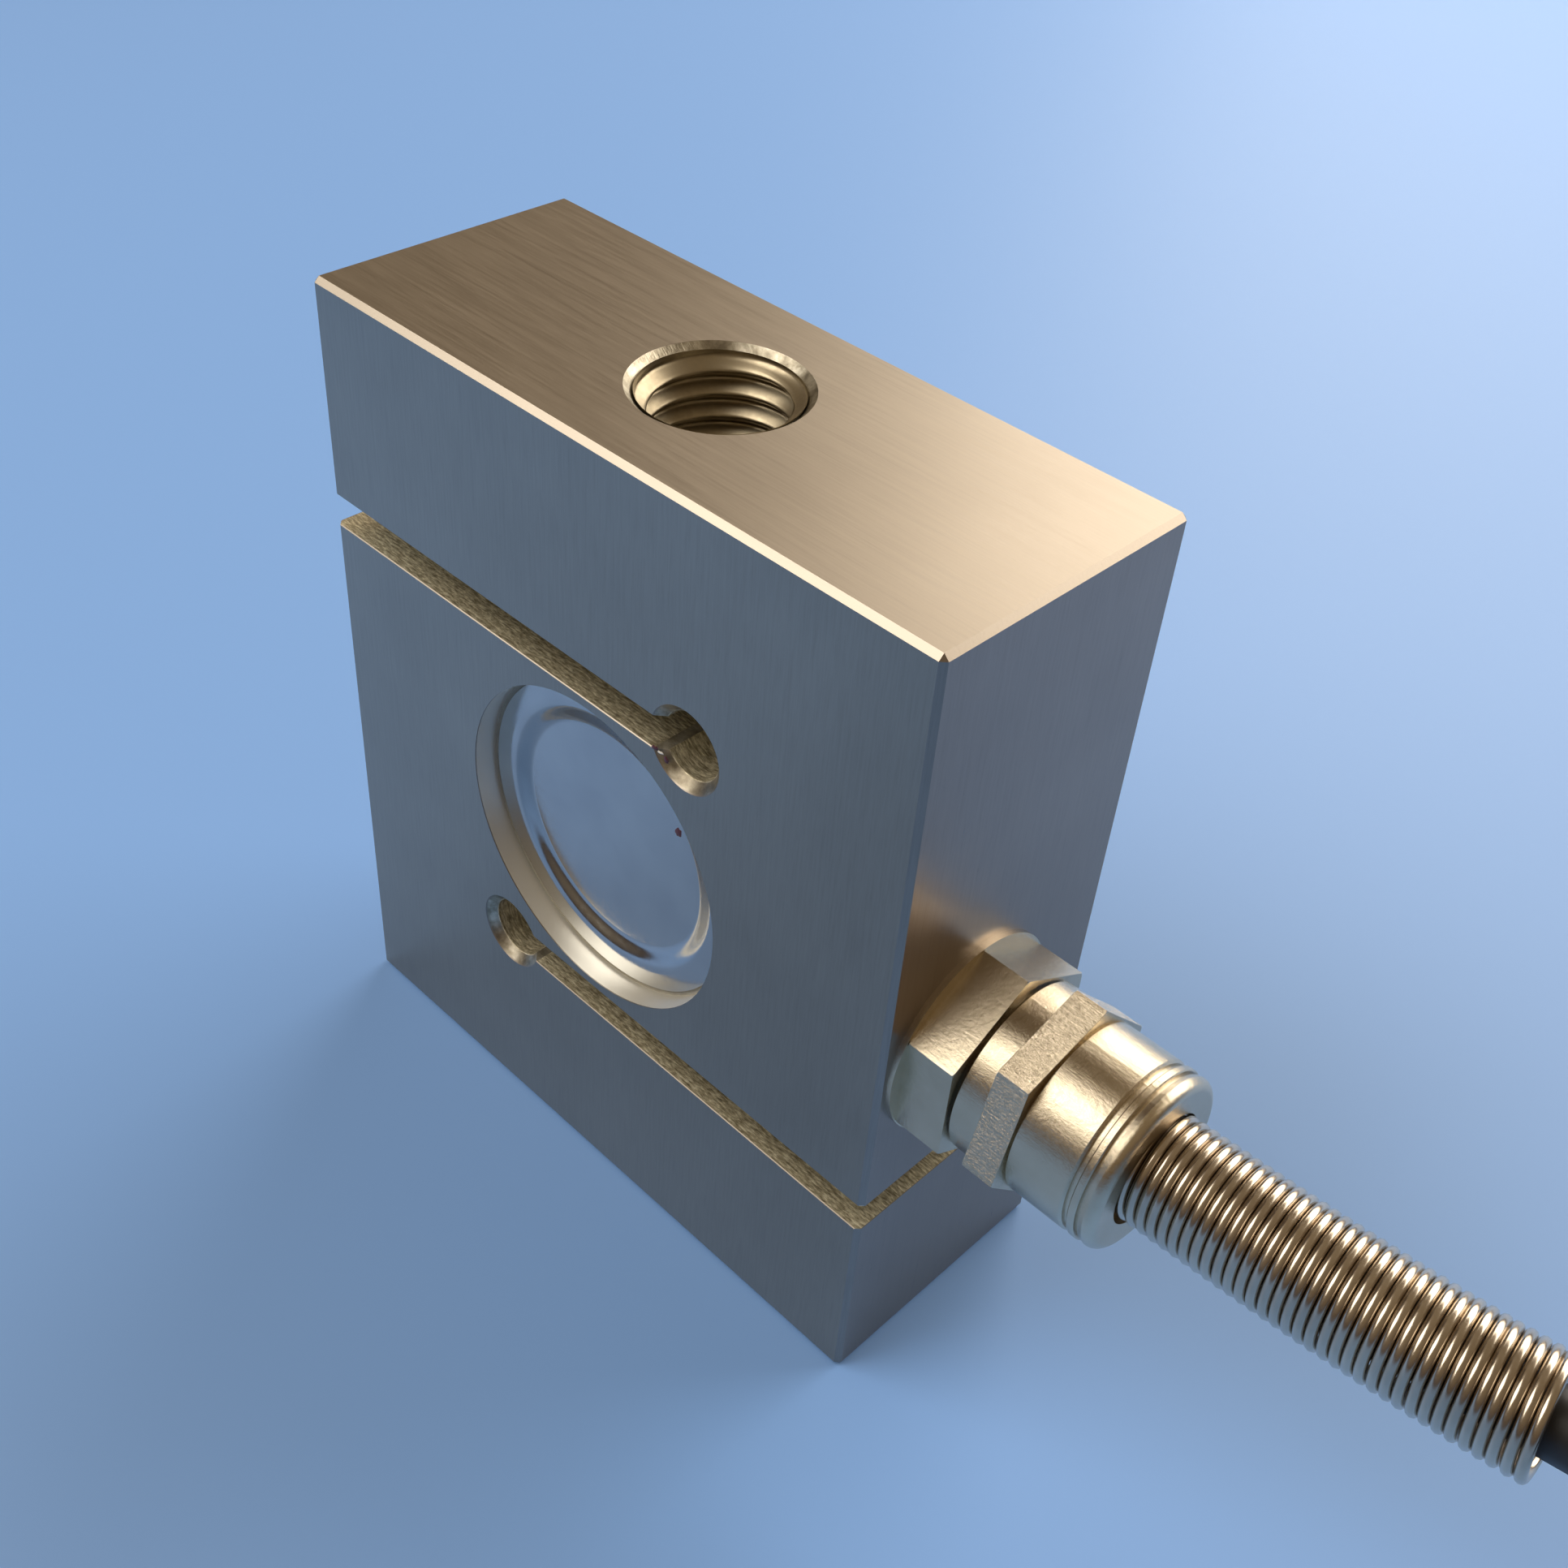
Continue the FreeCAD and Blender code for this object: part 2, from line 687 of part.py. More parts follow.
def along_x(edge):
    return abs(edge.tangentAt(edge.FirstParameter).x) > 0.5


def tail_direction():
    return (tail_route[-1] - tail_route[-2]).normalize()


def make_end_sleeve():
    """Heat-shrink sleeve over the sheath's end, drawn in round the leads."""
    inner = cable_radius + sleeve_fit
    neck = sleeve_neck_radius
    outline = [(-sleeve_on_sheath, inner), (0, inner), (2 * sleeve_wall, neck), (sleeve_on_leads, neck),
               (sleeve_on_leads, neck + sleeve_wall), (3 * sleeve_wall, neck + sleeve_wall),
               (sleeve_wall, inner + sleeve_wall), (-sleeve_on_sheath, inner + sleeve_wall)]
    sleeve = turned(outline, Vector(0, 0, 0))
    direction = tail_direction()
    sleeve.rotate(Vector(0, 0, 0), Z, math.degrees(math.atan2(direction.y, direction.x)))
    sleeve.translate(tail_route[-1])
    return sleeve


def make_lead(index):
    """One stripped lead, from the sheath's end out through the sleeve to the floor."""
    ahead = tail_direction()
    left = Z.cross(ahead)
    turn = 2 * math.pi * index / len(lead_colours) + math.pi / 2
    offset = left * (lead_bunch_radius * math.cos(turn)) + Z * (lead_bunch_radius * math.sin(turn))
    place = sorted(range(len(lead_colours)), key=bunch_side).index(index) - (len(lead_colours) - 1) / 2
    start = tail_route[-1] + offset
    mouth = start + ahead * (sleeve_on_leads + lead_radius)
    floor = Z * (lead_radius - tail_height)
    middle = tail_route[-1] + ahead * (sleeve_on_leads + lead_run) + left * (lead_fan * place) + floor
    end = middle + ahead * (lead_run * 0.85) + left * (lead_fan * place * 0.6)
    first_bend = start + ahead * (sleeve_on_leads + 2 * lead_radius)
    edges, radii = rounded_route([start, first_bend, middle, end])
    print("lead", lead_colours[index], "arc radii", [round(r, 1) for r in radii])
    return tube(Part.Wire(edges), lead_radius, ahead)


def bunch_side(index):
    turn = 2 * math.pi * index / len(lead_colours) + math.pi / 2
    return math.cos(turn) + math.sin(turn) / 100


# ---- strain-relief spring -----------------------------------------------------------------

def point_on_route(edges, distance):
    """Point and direction on the lead's path at a distance from its start."""
    for edge in edges:
        if distance <= edge.Length:
            parameter = edge.getParameterByLength(distance)
            return edge.valueAt(parameter), edge.tangentAt(parameter)
        distance -= edge.Length
    return edges[-1].valueAt(edges[-1].LastParameter), edges[-1].tangentAt(edges[-1].LastParameter)


def spring_rings():
    """Corner points round the wire at each step of the helix, which follows the cable's bend."""
    edges, radii = rounded_route(lead_route)
    bend_axis = X.cross(lead_route[2] - lead_route[1]).normalize()
    first = socket_floor + spring_floor_gap + spring_wire / 2 - sheath_start
    steps = round(facets_per_turn * (spring_length - spring_wire) / spring_pitch)
    coil_radius = spring_outer_radius - spring_wire / 2
    rings = []
    for step in range(steps + 1):
        centre, ahead = point_on_route(edges, first + spring_pitch * step / facets_per_turn)
        up = ahead.cross(bend_axis).normalize()
        turn = 2 * math.pi * step / facets_per_turn + math.radians(spring_start_turn)
        outward = bend_axis * math.cos(turn) + up * math.sin(turn)
        ring = []
        for corner in range(facets_round_wire):
            angle = 2 * math.pi * corner / facets_round_wire
            reach = coil_radius + spring_wire / 2 * math.cos(angle)
            ring.append(centre + outward * reach + ahead * (spring_wire / 2 * math.sin(angle)))
        rings.append(ring)
    return rings


def make_relief_spring():
    """Close-wound helical spring as one closed body of flat facets, bent with the cable."""
    rings = spring_rings()
    points = [point for ring in rings for point in ring]
    count = facets_round_wire
    triangles = []
    for step in range(len(rings) - 1):
        for corner in range(count):
            a = step * count + corner
            b = step * count + (corner + 1) % count
            triangles.append((a, b, b + count))
            triangles.append((a, b + count, a + count))
    last = (len(rings) - 1) * count
    for corner in range(1, count - 1):
        triangles.append((0, corner + 1, corner))
        triangles.append((last, last + corner, last + corner + 1))
    shell = Part.Shape()
    shell.makeShapeFromMesh(([tuple(p) for p in points], triangles), FACET_TOLERANCE)
    solid = Part.makeSolid(shell)
    if solid.Volume < 0:
        solid.reverse()
    return solid


# ---- all the parts ------------------------------------------------------------------------

def save(name, shape):
    """Write one sub-part; a list of solids goes into one file."""
    if isinstance(shape, list):
        shape = shape[0] if len(shape) == 1 else Part.makeCompound(shape)
    if not shape.isValid():
        print("not valid:", name)
    shape.exportStep("parts/" + name + ".step")


def both_pockets(name, front):
    """Save a front piece and its mirror image in the rear pocket."""
    rear = [mirror_to_rear(s) for s in front] if isinstance(front, list) else mirror_to_rear(front)
    save("front_" + name, front)
    save("rear_" + name, rear)


def make_pockets():
    cover = make_front_cover()
    both_pockets("cover", cover)
    both_pockets("sealant", make_front_sealant())
    gauges = [make_front_gauge(side) for side in (1, -1)]
    both_pockets("gauge_right", gauges[0])
    both_pockets("gauge_left", gauges[1])
    terminal = make_front_terminal()
    both_pockets("terminal", terminal)
    solder = make_front_solder()
    both_pockets("solder", solder)
    wires = make_front_bridge_wires(solder)
    both_pockets("bridge_wires", wires)
    pass_wires = make_pass_wires()
    save("pass_wires", pass_wires)
    board = make_board()
    save("board", board)
    resistors = make_resistors()
    save("resistors", resistors)
    cores = [make_core(k) for k in range(len(core_colours))]
    for colour, core in zip(core_colours, cores):
        save("core_" + colour, core)
    wrapped = gauges + [terminal] + solder + wires + pass_wires
    save("front_gel", make_front_gel(wrapped + [board] + resistors + cores))
    rear_wrapped = [mirror_to_rear(wire) for wire in pass_wires]
    save("rear_gel", mirror_to_rear(make_front_gel(gauges + [terminal] + solder + wires + rear_wrapped)))


def make_gland():
    save("gland_body", make_gland_body())
    save("gland_nut", make_gland_nut())
    save("gland_seal", make_gland_seal())
    save("gland_washer", make_gland_washer())
    save("gland_o_ring", make_gland_o_ring())
    save("relief_spring", make_relief_spring())


def make_cable():
    hank = make_cable_hank()
    save("cable_hank", hank)
    save("cable_lead", make_cable_lead(hank))
    save("cable_tail", make_cable_tail(hank))
    for k, tie in enumerate(make_hank_ties()):
        save("hank_tie_" + str(k + 1), tie)
    save("end_sleeve", make_end_sleeve())
    for k, colour in enumerate(lead_colours):
        save("lead_" + colour, make_lead(k))


save("spring_element", make_spring_element())
make_pockets()
make_gland()
make_cable()
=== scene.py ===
"""Looks of the s type load cell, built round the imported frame. Metres, in the frame's own axes."""
import json
import math

import bpy
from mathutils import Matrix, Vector


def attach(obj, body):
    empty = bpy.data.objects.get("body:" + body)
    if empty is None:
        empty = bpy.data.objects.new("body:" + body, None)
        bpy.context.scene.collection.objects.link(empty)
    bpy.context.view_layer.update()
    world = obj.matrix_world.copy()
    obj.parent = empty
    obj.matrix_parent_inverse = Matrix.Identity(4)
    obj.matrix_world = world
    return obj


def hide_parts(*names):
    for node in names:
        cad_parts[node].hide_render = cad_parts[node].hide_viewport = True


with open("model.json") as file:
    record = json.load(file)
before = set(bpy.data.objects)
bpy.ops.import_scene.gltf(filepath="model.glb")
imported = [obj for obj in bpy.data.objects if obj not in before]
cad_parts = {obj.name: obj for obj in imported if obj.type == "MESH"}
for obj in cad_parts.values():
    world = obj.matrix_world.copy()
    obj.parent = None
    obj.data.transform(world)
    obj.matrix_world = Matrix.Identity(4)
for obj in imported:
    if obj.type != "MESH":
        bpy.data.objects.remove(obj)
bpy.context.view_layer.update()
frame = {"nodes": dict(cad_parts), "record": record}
MM = 0.001                       # lengths below are in millimetres and are scaled by this
TAU = 2 * math.pi

BODY_HEIGHT = 59.5
MIDDLE = BODY_HEIGHT / 2         # height of the load cell's centre
FRONT = -10.0                    # y of the front face
SLOT = 13.35                     # each slot's height above or below the middle
HOLE = (8.4, 13.55)              # each stress-relief hole's place beside and above or below the middle


# ---- camera -------------------------------------------------------------------------------

def make_camera():
    data = bpy.data.cameras.new("camera")
    data.lens = 42.02
    data.sensor_width = 36.0
    data.clip_start = 0.005
    camera = bpy.data.objects.new("camera", data)
    bpy.context.scene.collection.objects.link(camera)
    camera.location = Vector((66.06, -66.42, 109.62)) * MM
    camera.rotation_euler = [math.radians(a) for a in (49.635, -3.773, 44.671)]
    bpy.context.scene.camera = camera


make_camera()


# ---- objects ------------------------------------------------------------------------------

def link(name, data):
    piece = bpy.data.objects.new(name, data)
    bpy.context.scene.collection.objects.link(piece)
    return piece


def mesh_piece(name, points, faces, smooth=True):
    data = bpy.data.meshes.new(name)
    data.from_pydata([tuple(p) for p in points], [], faces)
    data.update()
    data.shade_smooth() if smooth else data.shade_flat()
    return link(name, data)


def dress(piece, material):
    piece.data.materials.clear()
    piece.data.materials.append(material)


# ---- cable --------------------------------------------------------------------------------

CABLE_D = 4.0
LEAD = [(27.1, -2.5, 28.5), (51.7, -2.5, 28.5), (76.14, 0.07, 30.97), (93.0, -0.5, 27.0),
        (106.0, -4.0, 16.5), (118.0, -8.0, 6.5), (131.5, -6.8, 2.7)]
TAIL = [(137.0, 25.2, 5.6), (122.0, 26.2, 2.7), (108.2, 24.2, 2.37)]
HANK = (151.0, 9.0)                          # middle of the hank on the floor
STRAIGHT = 46.0                              # length of its straight sides
COLUMNS = (16.0, 12.0)                       # bend radius of the outer and the inner column
ROWS = (2.65, 6.65, 10.65, 14.65, 18.55)     # height of each row
CELLS = [(0, 0), (1, 0), (1, 1), (1, 2), (1, 3), (1, 4), (0, 4), (0, 3), (0, 2), (0, 1)]


def turn_places():
    """Stations round one turn: x along the straight sides, then the direction out to the strand."""
    stations = []
    for end, first_angle in ((1, -79), (-1, 101)):
        half = end * STRAIGHT / 2
        stations += [(share * half, 0, -end) for share in (-0.6, 0, 0.6)]
        for k in range(8):
            angle = math.radians(first_angle + 22.57 * k)
            stations.append((half, math.cos(angle), math.sin(angle)))
    return stations


def hank_points():
    """Ten turns in two columns and five rows, each turn crossing to the next round the near end."""
    stations = turn_places()
    points = []
    for k, here in enumerate(CELLS):
        there = CELLS[min(k + 1, len(CELLS) - 1)]
        for j, (along_x, dx, dy) in enumerate(stations):
            if k == len(CELLS) - 1 and j > 12:
                break
            mix = min(max((j - 13.5) / 7.5, 0.0), 1.0)
            mix = mix * mix * (3 - 2 * mix)
            radius = COLUMNS[here[0]] * (1 - mix) + COLUMNS[there[0]] * mix
            height = ROWS[here[1]] * (1 - mix) + ROWS[there[1]] * mix
            points.append((HANK[0] + along_x + radius * dx, HANK[1] + radius * dy, height))
    return points[1:]


def make_cable():
    data = bpy.data.curves.new("cable", "CURVE")
    data.dimensions = "3D"
    spline = data.splines.new("NURBS")
    route = LEAD + hank_points() + TAIL
    spline.points.add(len(route) - 1)
    for point, place in zip(spline.points, route):
        point.co = (place[0] * MM, place[1] * MM, place[2] * MM, 1.0)
    spline.order_u = 3
    spline.use_endpoint_u = True
    data.resolution_u = 12
    return link("cable", data)


def centre_line(curve):
    """Points of the cord's own line, read from its spline before it has a bevel."""
    bare = bpy.data.meshes.new_from_object(curve)
    line = [v.co.copy() for v in bare.vertices]
    bpy.data.meshes.remove(bare)
    return line


cable = make_cable()
cable_line = centre_line(cable)
for point in cable.data.splines[0].points:
    point.radius = CABLE_D / 2 * MM
cable.data.bevel_depth = 1.0
cable.data.bevel_resolution = 5
cable.data.use_fill_caps = True
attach(cable, "root")
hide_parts("cable_lead", "cable_hank", "cable_tail")


# ---- materials ----------------------------------------------------------------------------

class Shader:
    """Small helper that adds and joins the nodes of one material."""

    def __init__(self, name):
        self.material = bpy.data.materials.new(name)
        self.material.use_nodes = True
        self.tree = self.material.node_tree
        self.base = self.tree.nodes["Principled BSDF"]

    def node(self, kind, **values):
        made = self.tree.nodes.new(kind)
        for key, value in values.items():
            if hasattr(made, key) and key not in made.inputs:
                setattr(made, key, value)
            else:
                made.inputs[key.replace("_", " ")].default_value = value
        return made

    def join(self, source, target):
        self.tree.links.new(source, target)

    def paint(self, colours, colour_source, roughs, rough_source, metallic=1.0):
        """Base colour and roughness, each a ramp over its own source."""
        self.join(self.ramp(colour_source, colours), self.base.inputs["Base Color"])
        self.join(self.ramp(rough_source, roughs), self.base.inputs["Roughness"])
        self.base.inputs["Metallic"].default_value = metallic

    def set(self, **values):
        for key, value in values.items():
            self.base.inputs[key.replace("_", " ")].default_value = value

    def coords(self, scale):
        """Object coordinates, stretched by scale."""
        source = self.node("ShaderNodeTexCoord")
        mapping = self.node("ShaderNodeMapping", Scale=scale)
        self.join(source.outputs["Object"], mapping.inputs["Vector"])
        return mapping.outputs["Vector"]

    def noise(self, scale, detail, stretch=(1, 1, 1), rough=0.6):
        made = self.node("ShaderNodeTexNoise", Scale=scale, Detail=detail, Roughness=rough)
        self.join(self.coords(stretch), made.inputs["Vector"])
        return made.outputs["Fac"]

    def ramp(self, source, stops):
        made = self.node("ShaderNodeValToRGB")
        elements = made.color_ramp.elements
        while len(elements) < len(stops):
            elements.new(0.5)
        for element, (place, colour) in zip(elements, stops):
            element.position = place
            element.color = (*colour, 1.0)
        self.join(source, made.inputs["Fac"])
        return made.outputs["Color"]

    def maths(self, operation, *values):
        made = self.node("ShaderNodeMath")
        made.operation = operation
        for slot, value in zip(made.inputs, values):
            if isinstance(value, (int, float)):
                slot.default_value = value
            else:
                self.join(value, slot)
        return made.outputs["Value"]

    def bump(self, height, strength, distance, normal=None):
        """Bump from a height socket; strength is a socket or a constant, distance is in metres."""
        made = self.node("ShaderNodeBump", Distance=distance)
        if isinstance(strength, float):
            made.inputs["Strength"].default_value = strength
        else:
            self.join(strength, made.inputs["Strength"])
        self.join(height, made.inputs["Height"])
        if normal is not None:
            self.join(normal, made.inputs["Normal"])
        return made.outputs["Normal"]

    def place(self):
        """The three object coordinates in millimetres, as separate sockets."""
        source = self.node("ShaderNodeTexCoord")
        apart = self.node("ShaderNodeSeparateXYZ")
        self.join(source.outputs["Object"], apart.inputs["Vector"])
        return [self.maths("MULTIPLY", apart.outputs[axis], 1 / MM) for axis in "XYZ"]

    def facing(self, axis):
        """How squarely the surface faces along an axis, from 0 to 1."""
        source = self.node("ShaderNodeTexCoord")
        apart = self.node("ShaderNodeSeparateXYZ")
        self.join(source.outputs["Normal"], apart.inputs["Vector"])
        return self.maths("ABSOLUTE", apart.outputs[axis])

    def near(self, value, middle, reach, soft=0.03):
        """1 where value lies within reach of middle, falling to 0 over a soft edge."""
        away = self.maths("ABSOLUTE", self.maths("SUBTRACT", value, middle))
        step = self.maths("DIVIDE", self.maths("SUBTRACT", reach + soft / 2, away), soft)
        made = self.node("ShaderNodeClamp")
        self.join(step, made.inputs["Value"])
        return made.outputs["Result"]

    def radius(self, a, b, at):
        """Distance in a plane from a point."""
        squares = []
        for value, middle in ((a, at[0]), (b, at[1])):
            away = self.maths("SUBTRACT", value, middle)
            squares.append(self.maths("MULTIPLY", away, away))
        return self.maths("SQRT", self.maths("ADD", *squares))

    def rise(self, value, start, end):
        """0 before start, 1 after end, and a smooth rise between them."""
        made = self.node("ShaderNodeMapRange", interpolation_type="SMOOTHSTEP")
        self.join(value, made.inputs["Value"])
        made.inputs["From Min"].default_value = start
        made.inputs["From Max"].default_value = end
        return made.outputs["Result"]

    def every(self, *masks):
        out = masks[0]
        for mask in masks[1:]:
            out = self.maths("MULTIPLY", out, mask)
        return out

    def either(self, *masks):
        out = masks[0]
        for mask in masks[1:]:
            out = self.maths("MAXIMUM", out, mask)
        return out

    def mix(self, kind, factor, a, b):
        """Two colours mixed; factor, a and b are sockets or constants."""
        made = self.node("ShaderNodeMix", data_type="RGBA", blend_type=kind)
        sockets = {i.name: i for i in made.inputs if i.type == "RGBA"}
        for socket, value in ((made.inputs["Factor"], factor), (sockets["A"], a), (sockets["B"], b)):
            if isinstance(value, tuple):
                socket.default_value = (*value, 1.0)
            elif isinstance(value, float):
                socket.default_value = value
            else:
                self.join(value, socket)
        return [o for o in made.outputs if o.type == "RGBA"][0]

    def multiply(self, a, b):
        """Product of two colours."""
        return self.mix("MULTIPLY", 1.0, a, b)

    def blend(self, mask, a, b):
        """Colour a where mask is 0 and b where it is 1."""
        return self.mix("MIX", mask, a, b)


def greys(*stops):
    """Ramp stops of plain grey values."""
    return [(place, (value,) * 3) for place, value in stops]


def brushed_steel():
    """Ground faces with streaks, the top painted lighter and the sides painted darker as shade; sawn
    slots, drilled holes and burred mouths with machining marks; the bore wall painted near-white as a
    highlight.
    """
    sh = Shader("brushed_steel")
    x, y, z = sh.place()
    half_depth, half_width, half_slot, half_run = 9.93, 25.46, 1.2, 17.0
    inside = sh.near(y, 0.0, half_depth)
    slots, holes, sinks = [], [], []
    for side in (1, -1):
        hole = (side * HOLE[0], MIDDLE + side * HOLE[1])
        slots.append(sh.every(sh.near(z, MIDDLE + side * SLOT, half_slot),
                              sh.near(x, side * (HOLE[0] - half_run), half_run)))
        from_hole = sh.radius(x, z, hole)
        holes.append(sh.near(from_hole, 0.0, 2.3))
        sinks.append(sh.near(from_hole, 2.6, 0.31))
    sink = sh.every(inside, sh.either(*sinks))
    mouth = sh.every(sh.near(sh.radius(x, y, (0.0, 0.0)), 5.27, 0.3),
                     sh.either(sh.near(z, BODY_HEIGHT - 0.3, 0.29), sh.near(z, 0.3, 0.29)))
    cut = sh.every(inside, sh.near(x, 0.0, half_width), sh.either(*slots, *holes))
    bore = sh.every(inside, sh.near(sh.radius(x, z, (0.0, MIDDLE)), 0.0, 11.6))
    up = sh.facing("Z")
    lengthwise = sh.noise(1.0, 4, (160, 5200, 5200), 0.75)
    upright = sh.noise(1.0, 4, (5200, 5200, 220), 0.75)
    grind = sh.blend(up, upright, lengthwise)
    cloud = sh.noise(60, 3)
    sawn = sh.noise(1.0, 4, (1500, 6000, 1500), 0.7)
    coarse = sh.noise(900, 5)
    # Painted light and shade by facing: the side faces get a darker base colour and the end faces a
    # darker, warmer one, for the shade and dark reflections they show; the top (flat) is painted
    # lighter. The cloud noise is real tone.
    sides = sh.ramp(cloud, [(0.3, (0.30, 0.275, 0.240)), (0.7, (0.34, 0.312, 0.272))])
    ends = sh.ramp(cloud, [(0.3, (0.285, 0.240, 0.210)), (0.7, (0.325, 0.275, 0.240))])
    sides = sh.blend(sh.facing("X"), sides, ends)
    flat = sh.ramp(cloud, [(0.3, (0.41, 0.352, 0.285)), (0.7, (0.45, 0.388, 0.315))])
    ground = sh.multiply(sh.blend(up, sides, flat),
                         sh.ramp(grind, greys((0.30, 0.90), (0.5, 1.0), (0.72, 1.08))))
    raw = sh.ramp(sawn, [(0.34, (0.24, 0.20, 0.13)), (0.5, (0.58, 0.51, 0.35)),
                         (0.66, (1.0, 0.93, 0.72))])
    burred = sh.ramp(coarse, [(0.35, (0.22, 0.19, 0.14)), (0.5, (0.38, 0.34, 0.26)),
                              (0.7, (0.66, 0.61, 0.50))])
    colour = sh.blend(cut, ground, raw)
    colour = sh.blend(sh.either(sink, mouth), colour, burred)
    # Painted highlight: the bore wall is the same steel, painted near-white cream so that it reads as
    # brightly lit.
    colour = sh.blend(bore, colour, (0.96, 0.92, 0.82))
    sh.join(colour, sh.base.inputs["Base Color"])
    fine = sh.blend(up, sh.ramp(grind, greys((0.25, 0.27), (0.75, 0.37))),
                    sh.ramp(grind, greys((0.25, 0.36), (0.75, 0.46))))
    rough = sh.blend(cut, fine, (0.46,) * 3)
    rough = sh.blend(sh.either(sink, mouth), rough, (0.38,) * 3)
    rough = sh.blend(bore, rough, (0.42,) * 3)
    sh.join(rough, sh.base.inputs["Roughness"])
    sh.join(sh.maths("SUBTRACT", 1.0, sh.maths("MULTIPLY", sh.either(cut, bore), 0.25)),
            sh.base.inputs["Metallic"])
    streaks = sh.bump(grind, 0.14, 0.00001)
    marks = sh.bump(sawn, sh.maths("MULTIPLY", sh.either(cut, mouth), 0.55), 0.00006, streaks)
    sh.join(marks, sh.base.inputs["Normal"])
    return sh.material


def plated(name):
    """Nickel plating over brass: bright, with turning lines, tiny pits and drawn lines on the nut."""
    sh = Shader(name)
    lines = sh.noise(1.0, 3, (9000, 500, 500), 0.6)
    drawn = sh.noise(1.0, 5, (220, 2600, 2600), 0.85)
    pits = sh.noise(2600, 6, rough=0.8)
    tint = sh.noise(300, 3)
    sh.paint([(0.3, (0.56, 0.485, 0.36)), (0.7, (0.66, 0.575, 0.44))], tint,
             greys((0.35, 0.25), (0.6, 0.15), (0.8, 0.22)), pits)
    on_nut = sh.near(sh.place()[0], 32.4, 1.08)
    strength = sh.maths("ADD", 0.12, sh.maths("MULTIPLY", on_nut, 0.7))
    normal = sh.bump(drawn, strength, 0.00012, sh.bump(lines, 0.2, 0.00002))
    normal = sh.bump(pits, 0.35, 0.00008, normal)
    sh.join(normal, sh.base.inputs["Normal"])
    return sh.material


def stainless(name):
    """Pressed stainless sheet: polished, with rolling lines and the steep part of its pressed slope."""
    sh = Shader(name)
    wave = sh.noise(220, 2)
    rolled = sh.noise(1.0, 3, (700, 700, 7000), 0.7)
    dust = sh.noise(2400, 5)
    sh.paint([(0.3, (0.43, 0.44, 0.45)), (0.7, (0.49, 0.50, 0.50))], wave,
             greys((0.3, 0.22), (0.6, 0.13)), dust)
    x, _, z = sh.place()
    press = sh.rise(sh.radius(x, z, (0.0, MIDDLE)), 8.15, 9.5)
    normal = sh.bump(press, 1.0, 0.00042)
    normal = sh.bump(wave, 0.10, 0.0002, normal)
    normal = sh.bump(rolled, 0.10, 0.00001, normal)
    sh.join(normal, sh.base.inputs["Normal"])
    return sh.material


def drawn_wire(name):
    """Bright drawn spring wire."""
    sh = Shader(name)
    specks = sh.noise(3000, 5)
    tint = sh.noise(260, 3)
    sh.paint([(0.3, (0.50, 0.43, 0.345)), (0.7, (0.60, 0.52, 0.42))], tint,
             greys((0.3, 0.27), (0.65, 0.19)), specks)
    sh.join(sh.bump(specks, 0.06, 0.00001), sh.base.inputs["Normal"])
    return sh.material


def plain(name, colour, rough, scale, detail, dark, dull, relief, metallic):
    """One colour with a fine grain that darkens it, dulls it and roughens its surface."""
    sh = Shader(name)
    grain = sh.noise(scale, detail)
    sh.paint([(0.3, tuple(c * dark for c in colour)), (0.7, colour)], grain,
             greys((0.3, rough * dull), (0.7, rough)), grain, metallic)
    sh.join(sh.bump(grain, relief, 0.00003), sh.base.inputs["Normal"])
    return sh.material


def plain_metal(name, colour, rough):
    return plain(name, colour, rough, 2500, 4, dark=0.85, dull=1.2, relief=0.08, metallic=1.0)


def plain_plastic(name, colour, rough):
    return plain(name, colour, rough, 1800, 3, dark=0.8, dull=1.15, relief=0.15, metallic=0.0)


PLASTICS = {
    "cable_jacket": ((0.022, 0.022, 0.024), 0.42),
    "seal_rubber": ((0.02, 0.02, 0.02), 0.7),
    "tie_plastic": ((0.03, 0.03, 0.03), 0.5),
    "sleeve": ((0.025, 0.025, 0.025), 0.55),
    "sealant": ((0.36, 0.33, 0.25), 0.35),
    "gauge_foil": ((0.75, 0.50, 0.20), 0.4),
    "terminal": ((0.60, 0.30, 0.12), 0.4),
    "enamel_wire": ((0.55, 0.18, 0.07), 0.3),
    "board": ((0.05, 0.30, 0.12), 0.4),
    "resistor": ((0.03, 0.03, 0.03), 0.4),
    "gel": ((0.80, 0.80, 0.76), 0.3),
    "lead_red": ((0.60, 0.03, 0.03), 0.35),
    "lead_black": ((0.02, 0.02, 0.02), 0.35),
    "lead_green": ((0.02, 0.32, 0.08), 0.35),
    "lead_white": ((0.80, 0.80, 0.78), 0.35),
    "lead_shield": ((0.60, 0.52, 0.06), 0.35),
}
LOOKS = {slot: plain_plastic(slot, *look) for slot, look in PLASTICS.items()}
LOOKS["steel_body"] = brushed_steel()
LOOKS["cover_steel"] = stainless("cover_steel")
LOOKS["gland_plating"] = plated("gland_plating")
LOOKS["spring_wire"] = drawn_wire("spring_wire")
LOOKS["solder"] = plain_metal("solder", (0.75, 0.75, 0.74), 0.3)
for part in frame["record"]["subparts"]:
    dress(frame["nodes"][part["node"]], LOOKS[part["material_slot"]])
dress(cable, LOOKS["cable_jacket"])


# ---- strain-relief spring -----------------------------------------------------------------

def along(line, distance):
    """Point and direction on a line of points at a distance from its start."""
    for a, b in zip(line, line[1:]):
        step = (b - a).length
        if distance <= step:
            return a + (b - a) * (distance / step), (b - a).normalized()
        distance -= step
    return line[-1], (line[-1] - line[-2]).normalized()


